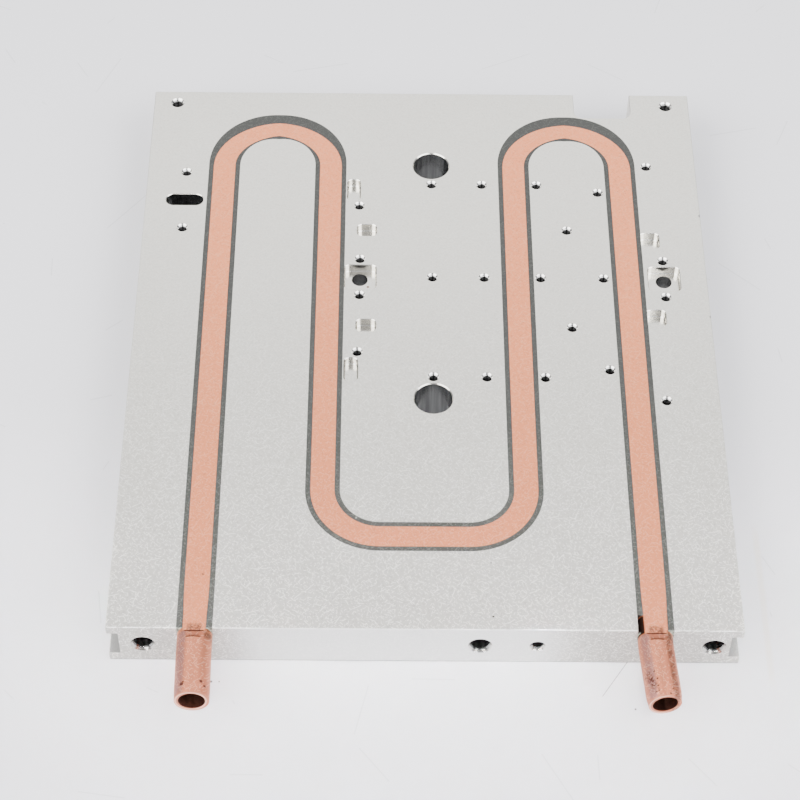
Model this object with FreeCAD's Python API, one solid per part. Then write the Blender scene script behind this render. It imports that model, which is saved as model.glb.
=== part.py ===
# Liquid cooling cold plate: a machined aluminium plate with one copper tube pressed into a
# serpentine groove, flush with the top face, and potted in thermal epoxy.
# Millimetres.  The origin is the centre of the underside.  +Z is up, towards the face that cools,
# and +Y points away from the edge where the two ends of the tube stand out.
import FreeCAD, Part
import math
import os

# ---- Driving dimensions: the plate -------------------------------------------------------------
plate_width = 180.0
plate_length = 216.5
plate_thickness = 16.5

rail_groove_height = 10.0       # groove along each side face, at mid thickness
rail_groove_depth = 3.25

# ---- Driving dimensions: the tube --------------------------------------------------------------
tube_diameter = 10.0
tube_wall = 1.0
tube_flat_width = 7.1           # width of the flat that is pressed level with the top face

outer_leg_spacing = 130.0       # centre line to centre line of the two outer legs
inner_leg_spacing = 60.0
rear_bend_to_rear = 34.7        # centre of the rear bends, from the rear face
cross_run_to_front = 32.1       # centre line of the run that joins the inner legs
front_corner_radius = 17.0      # centre line radius where that run turns into the legs

flat_reach = 0.8                # the flat runs this far out of the front face
neck_length = 1.2               # and rises to the full round over this length
stub_bend_radius = 30.0         # centre line radius where a stub leans over
inlet_stub_reach = 21.8         # how far each stub's tip stands out of the front face
inlet_stub_lean = 0.8           # degrees towards +X
inlet_cut_skew = 0.0            # degrees that a stub's sawn end is out of square
outlet_stub_reach = 22.4
outlet_stub_lean = 4.2
outlet_cut_skew = 2.0

# ---- Driving dimensions: the groove and the epoxy ----------------------------------------------
epoxy_film = 0.125              # between the tube and the groove, all round
bend_clearance = 1.2            # a second cut round each rear bend, this far back, clears the tube
chip_length = 5.3               # a piece of epoxy is missing beside the outlet, at the front face
chip_depth = 2.2

# ---- Driving dimensions: holes in the top face -------------------------------------------------
small_thread_radius = 1.5       # M3
small_thread_depth = 8.0
medium_thread_radius = 2.0      # M4
medium_thread_depth = 10.0
large_thread_radius = 3.0       # M6
top_countersink = 0.25          # how far a tapped hole's mouth is opened out
front_countersink = 0.35

module_line_to_front = 133.0    # the cooled module's centre line, which its holes mirror about
grid_columns = (3.0, 19.4, 37.3)
grid_row_offset = 40.8
side_column = 57.2
side_column_offset = 37.6
middle_column = 46.4
middle_column_offset = 20.6
left_post_near = (-20.0, 7.65)      # x, and offset each side of the module line
left_post_far = (-20.45, 31.0)
right_post_near = (76.45, 7.65)
right_post_far = (73.8, 49.6)

dowel_radius = 5.75
dowel_column = 2.95
dowel_offset = 49.3

strap_column = -77.3            # two tapped holes with a slot between them
strap_line_to_rear = 50.3
strap_hole_offset = 12.45
strap_slot_length = 12.0
strap_slot_width = 4.8

corner_hole_to_side = 7.8
corner_hole_to_rear = 5.3

# ---- Driving dimensions: pockets in the top face -----------------------------------------------
pocket_depth = 3.0
pocket_corner_radius = 1.6
post_pocket_size = 10.1         # square pocket round each post hole
post_pocket_columns = (-19.8, 76.45)
post_hole_radius = 2.55
post_hole_columns = (-20.0, 76.65)
post_hole_offset = 1.3          # behind the module line
key_pocket_width = 6.2
left_key_column = -17.9
left_key_length = 4.9
left_key_offset = 20.2
right_key_column = 72.85
right_key_length = 6.5
right_key_offset = 16.4
tall_pocket_width = 4.2
tall_pocket_length = 9.3
tall_pocket_column = -22.3
tall_pocket_offset = 38.1

rear_notch_column = 60.75       # open notch in the rear edge
rear_notch_width = 18.9
rear_notch_depth = 11.1
rear_notch_radius = 3.0

# ---- Driving dimensions: tapped holes in the front face ----------------------------------------
front_large_columns = (-80.0, 15.7, 82.2)
front_medium_column = 32.0
front_thread_depth = 15.0

# ---- Places that follow from the sizes ---------------------------------------------------------
front_y = -plate_length / 2
rear_y = plate_length / 2
top_z = plate_thickness
middle_z = plate_thickness / 2
module_y = front_y + module_line_to_front
strap_y = rear_y - strap_line_to_rear

tube_radius = tube_diameter / 2
bore_radius = tube_radius - tube_wall
groove_half_width = tube_radius + epoxy_film
crown_height = math.sqrt(tube_radius ** 2 - (tube_flat_width / 2) ** 2)     # flat above the axis
tube_z = top_z - crown_height

outer_leg_x = outer_leg_spacing / 2
inner_leg_x = inner_leg_spacing / 2
bend_radius = (outer_leg_x - inner_leg_x) / 2
bend_x = (outer_leg_x + inner_leg_x) / 2
bend_y = rear_y - rear_bend_to_rear
cross_run_y = front_y + cross_run_to_front
corner_y = cross_run_y + front_corner_radius
corner_x = inner_leg_x - front_corner_radius
flat_start_y = front_y - flat_reach
over = 1.0                      # cutting tools run this far past the face they enter

UP = FreeCAD.Vector(0, 0, 1)
RIGHT = FreeCAD.Vector(1, 0, 0)
BACK = FreeCAD.Vector(0, 1, 0)
FRONT = FreeCAD.Vector(0, -1, 0)
vec = FreeCAD.Vector


def join(shapes):
    """Fuse the shapes into one solid without the seams between them."""
    return shapes[0].fuse(list(shapes[1:])).removeSplitter()


# ---- Cross-sections, drawn about the tube's axis in the XZ plane -------------------------------

def d_section(radius, flat):
    """A circle with its crown cut off level, at a height above the axis."""
    half = math.sqrt(radius ** 2 - flat ** 2)
    left = vec(-half, 0, flat)
    right = vec(half, 0, flat)
    round_part = Part.Arc(left, vec(0, 0, -radius), right).toShape()
    return Part.Face(Part.Wire([round_part, Part.makeLine(right, left)]))


def groove_section():
    """A round-bottomed slot, open through the plate's top face."""
    half = groove_half_width
    open_top = crown_height + over
    bottom = Part.Arc(vec(-half, 0, 0), vec(0, 0, -half), vec(half, 0, 0)).toShape()
    right_wall = Part.makeLine(vec(half, 0, 0), vec(half, 0, open_top))
    lid = Part.makeLine(vec(half, 0, open_top), vec(-half, 0, open_top))
    left_wall = Part.makeLine(vec(-half, 0, open_top), vec(-half, 0, 0))
    return Part.Face(Part.Wire([bottom, right_wall, lid, left_wall]))


# ---- The serpentine route ----------------------------------------------------------------------

def placed(section, x, y):
    moved = section.copy()
    moved.translate(vec(x, y, tube_z))
    return moved


def straight_leg(section, x, start_y, end_y):
    return placed(section, x, start_y).extrude(BACK * (end_y - start_y))


def rear_bend(section, side, y):
    start = placed(section, side * outer_leg_x, y)
    return start.revolve(vec(side * bend_x, y, 0), UP, side * 180)


def front_corner(section, side):
    start = placed(section, side * inner_leg_x, corner_y)
    return start.revolve(vec(side * corner_x, corner_y, 0), UP, -side * 90)


def cross_run(section):
    turned = section.copy()
    turned.rotate(vec(0, 0, 0), UP, 90)
    return placed(turned, -corner_x, cross_run_y).extrude(RIGHT * (2 * corner_x))


def serpentine(section, start_y):
    """Carry one section from the front, round both rear bends and back to the front."""
    lengths = [cross_run(section)]
    for side in (-1, 1):
        lengths.append(straight_leg(section, side * outer_leg_x, start_y, bend_y))
        lengths.append(rear_bend(section, side, bend_y))
        lengths.append(straight_leg(section, side * inner_leg_x, corner_y, bend_y))
        lengths.append(front_corner(section, side))
    return join(lengths)


# ---- The tube's two ends -----------------------------------------------------------------------

def neck(radius, flat, x):
    """The short length where the flat rises to the full round."""
    rise = radius - flat
    body = Part.makeCylinder(radius, neck_length, vec(x, flat_start_y, tube_z), FRONT)
    start_z = tube_z + flat
    end_y = flat_start_y - neck_length
    profile = Part.makePolygon([
        vec(x, flat_start_y, start_z),
        vec(x, end_y, start_z + rise),
        vec(x, end_y, start_z + 2 * rise),
        vec(x, flat_start_y, start_z + 2 * rise),
        vec(x, flat_start_y, start_z)])
    crown = Part.Face(profile).extrude(RIGHT * (2 * radius))
    crown.translate(RIGHT * -radius)
    return body.cut(crown)


def stub(radius, x, lean, reach):
    """The round end: a short bend that leans it over, and a straight length left to be sawn."""
    bend_start_y = flat_start_y - neck_length
    disc = Part.Face(Part.Wire(Part.makeCircle(radius, vec(x, bend_start_y, tube_z), FRONT)))
    bend = disc.revolve(vec(x + stub_bend_radius, bend_start_y, tube_z), UP, lean)
    turn = math.radians(lean)
    bend_end = vec(x + stub_bend_radius * (1 - math.cos(turn)),
                   bend_start_y - stub_bend_radius * math.sin(turn), tube_z)
    direction = vec(math.sin(turn), -math.cos(turn), 0)
    length = reach + tube_diameter
    return join([bend, Part.makeCylinder(radius, length, bend_end, direction)])


def saw_waste(x, lean, reach, skew):
    """What the saw takes off a stub, so that the longer side of its end has the right reach."""
    turn = math.radians(lean)
    cut_angle = lean + skew
    centre_reach = reach - tube_radius * math.sin(math.radians(abs(cut_angle)))
    size = 4 * tube_diameter + reach
    block = Part.makeBox(size, size, size, vec(-size / 2, -size, -size / 2))
    block.rotate(vec(0, 0, 0), UP, cut_angle)
    block.translate(vec(x + centre_reach * math.tan(turn), front_y - centre_reach, tube_z))
    return block


def tube_bar(radius, flat):
    """The whole tube as a solid bar of one size: its outside, or its bore."""
    lengths = [serpentine(d_section(radius, flat), flat_start_y)]
    for x, lean, reach, skew in stubs:
        lengths.append(neck(radius, flat, x))
        lengths.append(stub(radius, x, lean, reach))
    return join(lengths)


stubs = ((-outer_leg_x, inlet_stub_lean, inlet_stub_reach, inlet_cut_skew),
         (outer_leg_x, outlet_stub_lean, outlet_stub_reach, outlet_cut_skew))


def tube_outside():
    return tube_bar(tube_radius, crown_height)


def coolant_tube():
    bore = tube_bar(bore_radius, crown_height - tube_wall)
    return tube_outside().cut([bore] + [saw_waste(*end) for end in stubs])


# ---- The groove and what is cut into the plate -------------------------------------------------

def tube_groove():
    section = groove_section()
    cuts = [serpentine(section, front_y - over)]
    second_bend_y = bend_y + bend_clearance
    for side in (-1, 1):
        cuts.append(rear_bend(section, side, second_bend_y))
        for leg_x in (outer_leg_x, inner_leg_x):
            cuts.append(straight_leg(section, side * leg_x, bend_y, second_bend_y))
    return join(cuts)


def drilled(x, y, radius, depth):
    """A hole drilled down from the top face."""
    return Part.makeCylinder(radius, depth + over, vec(x, y, top_z - depth))


def tapped(radius, depth, countersink, mouth, inward):
    """A tapped hole at its thread's outer size, with its mouth opened to a 45 degree cone."""
    start = mouth - inward * over
    hole = Part.makeCylinder(radius, depth + over, start, inward)
    cone = Part.makeCone(radius + countersink + over, radius, countersink + over, start, inward)
    return hole.fuse(cone)


def tapped_down(x, y, radius, depth):
    return tapped(radius, depth, top_countersink, vec(x, y, top_z), -UP)


def pocket(x, y, width, length, depth, corner):
    """A milled pocket with rounded corners, sunk from the top face."""
    block = Part.makeBox(width, length, depth + over,
                         vec(x - width / 2, y - length / 2, top_z - depth))
    upright = [edge for edge in block.Edges
               if abs(edge.Vertexes[0].Z - edge.Vertexes[1].Z) > depth / 2]
    return block.makeFillet(min(corner, 0.49 * width, 0.49 * length), upright)


def module_thread_places():
    """Centres of the small tapped holes that hold the cooled module and its board."""
    places = []
    for x in grid_columns + (side_column,):
        places.append((x, module_y))
    mirrored = [(x, grid_row_offset) for x in grid_columns]
    mirrored.append((side_column, side_column_offset))
    mirrored.append((middle_column, middle_column_offset))
    mirrored += [left_post_near, left_post_far, right_post_near, right_post_far]
    for x, offset in mirrored:
        for side in (-1, 1):
            places.append((x, module_y + side * offset))
    return places


def top_holes():
    cuts = []
    strap_places = [(strap_column, strap_y + side * strap_hole_offset) for side in (-1, 1)]
    for x, y in module_thread_places() + strap_places:
        cuts.append(tapped_down(x, y, small_thread_radius, small_thread_depth))
    for side in (-1, 1):
        corner_hole_x = side * (plate_width / 2 - corner_hole_to_side)
        cuts.append(tapped_down(corner_hole_x, rear_y - corner_hole_to_rear,
                                medium_thread_radius, medium_thread_depth))
        cuts.append(drilled(dowel_column, module_y + side * dowel_offset,
                            dowel_radius, plate_thickness + over))
    for x in post_hole_columns:
        cuts.append(drilled(x, module_y + post_hole_offset, post_hole_radius,
                            plate_thickness + over))
    cuts.append(pocket(strap_column, strap_y, strap_slot_length, strap_slot_width,
                       plate_thickness + over, strap_slot_width / 2))
    return cuts


def top_pockets():
    cuts = []
    for x in post_pocket_columns:
        cuts.append(pocket(x, module_y, post_pocket_size, post_pocket_size,
                           pocket_depth, pocket_corner_radius))
    for side in (-1, 1):
        cuts.append(pocket(left_key_column, module_y + side * left_key_offset,
                           key_pocket_width, left_key_length, pocket_depth, pocket_corner_radius))
        cuts.append(pocket(right_key_column, module_y + side * right_key_offset,
                           key_pocket_width, right_key_length, pocket_depth, pocket_corner_radius))
        cuts.append(pocket(tall_pocket_column, module_y + side * tall_pocket_offset,
                           tall_pocket_width, tall_pocket_length, pocket_depth,
                           pocket_corner_radius))
    return cuts


def rear_notch():
    """The notch is a deep pocket that runs out through the rear edge."""
    length = 2 * rear_notch_depth
    return pocket(rear_notch_column, rear_y, rear_notch_width, length,
                  plate_thickness + over, rear_notch_radius)


def front_holes():
    cuts = []
    for x in front_large_columns:
        cuts.append(tapped(large_thread_radius, front_thread_depth, front_countersink,
                           vec(x, front_y, middle_z), BACK))
    cuts.append(tapped(medium_thread_radius, front_thread_depth, front_countersink,
                       vec(front_medium_column, front_y, middle_z), BACK))
    return cuts


def rail_grooves():
    cuts = []
    for side in (-1, 1):
        centre_x = side * plate_width / 2
        cuts.append(Part.makeBox(2 * rail_groove_depth, plate_length + 2 * over,
                                 rail_groove_height,
                                 vec(centre_x - rail_groove_depth, front_y - over,
                                     middle_z - rail_groove_height / 2)))
    return cuts


def plate_block():
    return Part.makeBox(plate_width, plate_length, plate_thickness,
                        vec(-plate_width / 2, front_y, 0))


def base_plate():
    cuts = [tube_groove(), rear_notch()]
    cuts += top_holes() + top_pockets() + front_holes() + rail_grooves()
    return plate_block().cut(cuts)


def thermal_epoxy():
    """The epoxy fills what the tube leaves of its groove, up to the plate's faces."""
    fill = tube_groove().common(plate_block()).cut(tube_outside())
    missing_piece = Part.makeBox(groove_half_width + over, chip_length + over, chip_depth + over,
                                 vec(outer_leg_x - groove_half_width - over, front_y - over,
                                     top_z - chip_depth))
    return fill.cut(missing_piece)


os.makedirs("parts", exist_ok=True)
pieces = {"base_plate": base_plate, "coolant_tube": coolant_tube, "thermal_epoxy": thermal_epoxy}
for name, make in pieces.items():
    shape = make()
    print(name, len(shape.Solids), "solid", "valid" if shape.isValid() else "NOT VALID",
          round(shape.Volume, 1), "mm3")
    shape.exportStep("parts/" + name + ".step")
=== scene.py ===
"""Looks of a liquid cooling cold plate: a milled aluminium plate with one copper tube pressed into
a serpentine groove, potted in grey thermal epoxy and faced off flush with the top."""

import math

import bmesh
import bpy
from mathutils import Matrix, Vector, noise


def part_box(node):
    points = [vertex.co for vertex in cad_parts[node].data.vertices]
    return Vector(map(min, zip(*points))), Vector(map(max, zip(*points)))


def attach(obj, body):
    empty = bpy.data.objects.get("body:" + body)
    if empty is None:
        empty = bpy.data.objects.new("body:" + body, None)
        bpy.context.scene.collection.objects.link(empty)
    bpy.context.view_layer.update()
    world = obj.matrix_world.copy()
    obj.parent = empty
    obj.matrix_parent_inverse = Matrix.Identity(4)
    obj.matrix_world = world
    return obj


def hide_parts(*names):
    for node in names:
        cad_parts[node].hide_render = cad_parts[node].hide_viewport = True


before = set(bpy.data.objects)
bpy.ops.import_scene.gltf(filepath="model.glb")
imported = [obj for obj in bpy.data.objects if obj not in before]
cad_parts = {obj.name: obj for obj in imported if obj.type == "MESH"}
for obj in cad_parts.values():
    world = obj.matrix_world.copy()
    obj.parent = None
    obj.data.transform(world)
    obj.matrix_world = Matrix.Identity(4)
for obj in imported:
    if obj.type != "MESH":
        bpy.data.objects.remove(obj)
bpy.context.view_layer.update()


# ---- The aluminium plate -----------------------------------------------------------------------
# One block of aluminium, sawn from plate stock and milled all over.  A rail groove runs along each
# side face, and the notch, slot, pockets and plain holes are milled down from the top.  Every
# edge that the last facing pass leaves sharp is broken by hand, except along the tube's groove.
MM = 0.001
plate_low, plate_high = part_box("base_plate")
half_width = plate_high.x / MM
front = plate_low.y / MM
rear = plate_high.y / MM
top = plate_high.z / MM
middle = top / 2
module_line = front + 133.0
strap_line = rear - 50.3

rail_depth = 3.25
rail_half_height = 5.0
edge_break = 0.22
mouth_break = 0.18
groove_half_width = 5.125
groove_to_axis = 3.521      # from the top face down to the tube's centre line
outer_leg = 65.0
inner_leg = 30.0
bend_centre_x = 47.5
bend_radius = 17.5
groove_bend_y = rear - 34.1
cross_run_y = front + 32.1
corner_radius = 17.0
round_handle = 0.5523       # handle of a quarter circle, as a share of its radius


def add(tree, kind, sockets=None, **settings):
    """A node with its settings made and its sockets linked or filled."""
    made = tree.nodes.new(kind)
    for name, value in settings.items():
        setattr(made, name, value)
    for key, value in (sockets or {}).items():
        if isinstance(value, bpy.types.NodeSocket):
            tree.links.new(value, made.inputs[key])
        else:
            made.inputs[key].default_value = value
    return made


def maths(tree, operation, *values, clamp=False):
    sockets = {i: value for i, value in enumerate(values)}
    return add(tree, "ShaderNodeMath", sockets, operation=operation, use_clamp=clamp).outputs[0]


def vectors(tree, operation, *values):
    sockets = {i: value for i, value in enumerate(values)}
    made = add(tree, "ShaderNodeVectorMath", sockets, operation=operation)
    return made.outputs["Value" if operation in ("DOT_PRODUCT", "LENGTH") else "Vector"]


def between(tree, value, low, high, to_low=0.0, to_high=1.0):
    return add(tree, "ShaderNodeMapRange", {"Value": value, "From Min": low, "From Max": high,
                                            "To Min": to_low, "To Max": to_high},
               interpolation_type="SMOOTHSTEP").outputs[0]


def piece_from(mesh, name):
    made = bpy.data.objects.new(name, mesh)
    bpy.context.scene.collection.objects.link(made)
    return made


def finished_mesh(worked, name):
    """The mesh that a piece's modifiers leave, as a plain piece; the worked one is cleared away."""
    bpy.context.view_layer.update()
    graph = bpy.context.evaluated_depsgraph_get()
    mesh = bpy.data.meshes.new_from_object(worked.evaluated_get(graph))
    bpy.data.objects.remove(worked)
    mesh.name = name
    return piece_from(mesh, name)


def lofted(loops, name):
    """A closed solid through loops of equal count, each a list of points in millimetres."""
    shape = bmesh.new()
    rings = [[shape.verts.new(Vector(point) * MM) for point in loop] for loop in loops]
    for lower, upper in zip(rings, rings[1:]):
        for i in range(len(lower)):
            j = (i + 1) % len(lower)
            shape.faces.new((lower[i], lower[j], upper[j], upper[i]))
    shape.faces.new(rings[0][::-1])
    shape.faces.new(rings[-1])
    bmesh.ops.recalc_face_normals(shape, faces=shape.faces)
    mesh = bpy.data.meshes.new(name)
    shape.to_mesh(mesh)
    shape.free()
    return mesh


def rounded_outline(x, y, half_x, half_y, radius, grow, z, steps):
    """A rectangle with round corners, grown outwards all round."""
    points = []
    for corner in range(4):
        side_x = 1 if corner in (0, 3) else -1
        side_y = 1 if corner in (0, 1) else -1
        for step in range(steps + 1):
            turn = math.radians(90 * corner + 90 * step / steps)
            points.append((x + side_x * (half_x - radius) + (radius + grow) * math.cos(turn),
                           y + side_y * (half_y - radius) + (radius + grow) * math.sin(turn), z))
    return points


def end_mill(x, y, half_x, half_y, radius, depth, mouth=mouth_break, steps=6):
    """What a cutter takes out, with a broken edge at the mouth and a small radius at the floor."""
    levels = [(top + 0.5, mouth), (top, mouth), (top - mouth, 0.0)]
    if depth is None:
        levels += [(mouth, 0.0), (0.0, mouth), (-0.5, mouth)]
    else:
        levels += [(top - depth + 0.25, 0.0), (top - depth, -0.25)]
    loops = [rounded_outline(x, y, half_x, half_y, radius, grow, z, steps) for z, grow in levels]
    return lofted(loops, "end mill")


def cut_away(piece, meshes):
    """Take the cutters' shapes out of a piece."""
    cutters = []
    for mesh in meshes:
        cutters.append(piece_from(mesh, "cutter"))
    shape = bmesh.new()
    for cutter in cutters:
        shape.from_mesh(cutter.data)
        bpy.data.objects.remove(cutter)
    joined = bpy.data.meshes.new("cutters")
    shape.to_mesh(joined)
    shape.free()
    cutter = piece_from(joined, "cutters")
    cut = piece.modifiers.new("cut", "BOOLEAN")
    cut.operation = "DIFFERENCE"
    cut.solver = "EXACT"
    cut.object = cutter
    name = piece.name
    made = finished_mesh(piece, name)
    bpy.data.objects.remove(cutter)
    return made


def plate_stock():
    outline = [(-half_width, 0.0), (half_width, 0.0)]
    for side in (1, -1):
        wall = side * half_width
        floor = side * (half_width - rail_depth)
        rim = [(wall, middle - rail_half_height), (floor, middle - rail_half_height),
               (floor, middle + rail_half_height), (wall, middle + rail_half_height),
               (wall, top)]
        outline += rim if side > 0 else rim[::-1]
    loops = [[(x, y, z) for x, z in outline] for y in (front, rear)]
    stock = piece_from(lofted(loops, "plate stock"), "aluminium_plate")
    breaks = stock.modifiers.new("edge breaks", "BEVEL")
    breaks.width = edge_break * MM
    breaks.segments = 2
    breaks.limit_method = "ANGLE"
    breaks.angle_limit = math.radians(40)
    return finished_mesh(stock, "aluminium_plate")


def route(name, points, steps):
    """A Bezier line through (x, y, handle x, handle y, back share) points, at the tube's axis."""
    line = bpy.data.curves.new(name, "CURVE")
    line.dimensions = "3D"
    line.twist_mode = "Z_UP"
    line.resolution_u = steps
    spline = line.splines.new("BEZIER")
    spline.bezier_points.add(len(points) - 1)
    z = top - groove_to_axis
    for knot, (x, y, ahead_x, ahead_y, back) in zip(spline.bezier_points, points):
        knot.handle_left_type = knot.handle_right_type = "FREE"
        knot.co = Vector((x, y, z)) * MM
        knot.handle_right = Vector((x + ahead_x, y + ahead_y, z)) * MM
        knot.handle_left = Vector((x - back * ahead_x, y - back * ahead_y, z)) * MM
    made = bpy.data.objects.new(name, line)
    bpy.context.scene.collection.objects.link(made)
    return made


def serpentine_points(bend_y, bend_depth):
    """Knots from the inlet leg round both rear bends to the outlet leg."""
    bend_handle = round_handle * bend_radius
    rise_handle = round_handle * bend_depth
    corner_handle = round_handle * corner_radius
    left = [(-outer_leg, bend_y, 0, rise_handle, 3.0),
            (-bend_centre_x, bend_y + bend_depth, bend_handle, 0, 1.0),
            (-inner_leg, bend_y, 0, -rise_handle, 1.0),
            (-inner_leg, cross_run_y + corner_radius, 0, -corner_handle, 1.0),
            (-inner_leg + corner_radius, cross_run_y, corner_handle, 0, 1.0)]
    right = [(-x, y, ahead_x, -ahead_y, 1.0) for x, y, ahead_x, ahead_y, _ in left[::-1]]
    return left + right


def swept(tree_inputs, line, section, closed, name):
    """Run the sweep along a route and return the solid or shell that it leaves."""
    sweep = line.modifiers.new("sweep", "NODES")
    sweep.node_group = sweep_tree
    sockets = {item.name: item.identifier for item in sweep_tree.interface.items_tree
               if item.item_type == "SOCKET" and item.in_out == "INPUT"}
    sweep[sockets["Section"]] = section
    sweep[sockets["Closed Ends"]] = closed
    for label, value in tree_inputs.items():
        sweep[sockets[label]] = value
    return finished_mesh(line, name)


def build_sweep_tree():
    """A section swept along a route.  Behind the bend line it grows wider or narrower, and it is
    pressed flat at one level, which lifts to clear the round ends in front of the plate."""
    tree = bpy.data.node_groups.new("section swept along the route", "GeometryNodeTree")
    face = tree.interface
    face.new_socket("Route", in_out="INPUT", socket_type="NodeSocketGeometry")
    face.new_socket("Section", in_out="INPUT", socket_type="NodeSocketObject")
    face.new_socket("Closed Ends", in_out="INPUT", socket_type="NodeSocketBool")
    for label in ("Bend Line", "Bend Depth", "Bend Widening", "Pressed Level", "Neck Start",
                  "Neck Length", "Neck Rise", "Front Dip", "Tip Line", "Tip Narrowing",
                  "Outlet Narrowing", "Saw Skew"):
        face.new_socket(label, in_out="INPUT", socket_type="NodeSocketFloat")
    face.new_socket("Piece", in_out="OUTPUT", socket_type="NodeSocketGeometry")
    given = tree.nodes.new("NodeGroupInput").outputs
    level_normals = add(tree, "GeometryNodeSetCurveNormal", {"Curve": given["Route"]},
                        mode="Z_UP").outputs[0]
    capture = add(tree, "GeometryNodeCaptureAttribute", {0: level_normals})
    capture.capture_items.new("VECTOR", "Centre")
    capture.capture_items.new("VECTOR", "Along")
    tree.links.new(tree.nodes.new("GeometryNodeInputPosition").outputs[0], capture.inputs[1])
    tree.links.new(tree.nodes.new("GeometryNodeInputTangent").outputs[0], capture.inputs[2])
    section = add(tree, "GeometryNodeObjectInfo", {0: given["Section"]}).outputs["Geometry"]
    skin = add(tree, "GeometryNodeCurveToMesh", {"Curve": capture.outputs[0],
                                                 "Profile Curve": section,
                                                 "Fill Caps": given["Closed Ends"]}).outputs[0]
    centre = capture.outputs[1]
    along = capture.outputs[2]
    across = vectors(tree, "NORMALIZE", vectors(tree, "CROSS_PRODUCT", along, (0, 0, 1)))
    place = tree.nodes.new("GeometryNodeInputPosition").outputs[0]
    sideways = vectors(tree, "DOT_PRODUCT", vectors(tree, "SUBTRACT", place, centre), across)
    centre_y = add(tree, "ShaderNodeSeparateXYZ", {0: centre}).outputs[1]
    centre_x = add(tree, "ShaderNodeSeparateXYZ", {0: centre}).outputs[0]

    in_bend = maths(tree, "DIVIDE", maths(tree, "SUBTRACT", centre_y, given["Bend Line"]),
                    given["Bend Depth"], clamp=True)
    widening = maths(tree, "MULTIPLY", maths(tree, "MULTIPLY", sideways, in_bend),
                     given["Bend Widening"])
    widened = vectors(tree, "ADD", place, add(tree, "ShaderNodeVectorMath",
                                              {0: across, "Scale": widening},
                                              operation="SCALE").outputs[0])
    on_outlet = maths(tree, "GREATER_THAN", centre_x, 0.0)
    at_tip = between(tree, centre_y, maths(tree, "ADD", given["Tip Line"], 0.0030),
                     given["Tip Line"])
    narrowing = maths(tree, "MULTIPLY_ADD", on_outlet, given["Outlet Narrowing"],
                      given["Tip Narrowing"])
    inward = maths(tree, "MULTIPLY", maths(tree, "MULTIPLY", at_tip, narrowing), -1.0)
    rolled_in = vectors(tree, "ADD", widened, add(tree, "ShaderNodeVectorMath",
                                                  {0: vectors(tree, "SUBTRACT", widened, centre),
                                                   "Scale": inward},
                                                  operation="SCALE").outputs[0])
    x, y, straight_z = add(tree, "ShaderNodeSeparateXYZ", {0: rolled_in}).outputs
    near_front = between(tree, y, (front + 16.0) * MM, front * MM)
    z = maths(tree, "SUBTRACT", straight_z, maths(tree, "MULTIPLY", near_front, given["Front Dip"]))
    in_neck = add(tree, "ShaderNodeMapRange",
                  {"Value": maths(tree, "SUBTRACT", given["Neck Start"], y),
                   "From Max": given["Neck Length"]}).outputs[0]
    level = maths(tree, "MULTIPLY_ADD", in_neck, given["Neck Rise"], given["Pressed Level"])
    pressed_z = maths(tree, "MINIMUM", z, level)
    to_saw = between(tree, centre_y, (front - 6.0) * MM, given["Tip Line"])
    skew = maths(tree, "MULTIPLY", maths(tree, "MULTIPLY", sideways, given["Saw Skew"]),
                 maths(tree, "MULTIPLY", to_saw, on_outlet))
    moved = add(tree, "ShaderNodeCombineXYZ", {0: x, 1: maths(tree, "SUBTRACT", y, skew),
                                               2: pressed_z}).outputs[0]
    shaped = add(tree, "GeometryNodeSetPosition", {"Geometry": skin, "Position": moved}).outputs[0]
    result = tree.nodes.new("NodeGroupOutput")
    tree.links.new(shaped, result.inputs[0])
    return tree


def section_line(name, points):
    """A closed section drawn across the route: sideways and up from the tube's axis."""
    line = bpy.data.curves.new(name, "CURVE")
    line.dimensions = "3D"
    spline = line.splines.new("POLY")
    spline.points.add(len(points) - 1)
    for knot, (sideways, up) in zip(spline.points, points[::-1]):
        knot.co = (sideways * MM, -up * MM, 0, 1)
    spline.use_cyclic_u = True
    made = bpy.data.objects.new(name, line)
    bpy.context.scene.collection.objects.link(made)
    return made


def slot_section(name, up):
    """The groove's section: a round bottom and straight walls."""
    points = []
    for step in range(25):
        turn = math.pi + math.pi * step / 24
        points.append((groove_half_width * math.cos(turn), groove_half_width * math.sin(turn)))
    points += [(groove_half_width, up), (-groove_half_width, up)]
    return section_line(name, points)


sweep_tree = build_sweep_tree()
no_press = {"Pressed Level": 1.0, "Neck Start": -1.0, "Neck Length": 0.001, "Neck Rise": 0.0,
            "Front Dip": 0.0, "Tip Line": -1.0, "Tip Narrowing": 0.0, "Outlet Narrowing": 0.0,
            "Saw Skew": 0.0}
groove_shape = {**no_press, "Bend Line": groove_bend_y * MM, "Bend Depth": bend_radius * MM,
                "Bend Widening": 0.117}


def groove_route(name, start):
    inside = serpentine_points(groove_bend_y, bend_radius)
    length = groove_bend_y - start
    inside[0] = (-outer_leg, groove_bend_y, 0, round_handle * bend_radius, 2.0)
    first = (-outer_leg, start, 0, length / 3, 0.0)
    last = (outer_leg, start, 0, -length / 3, 1.0)
    return route(name, [first] + inside + [last], 20)


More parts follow.
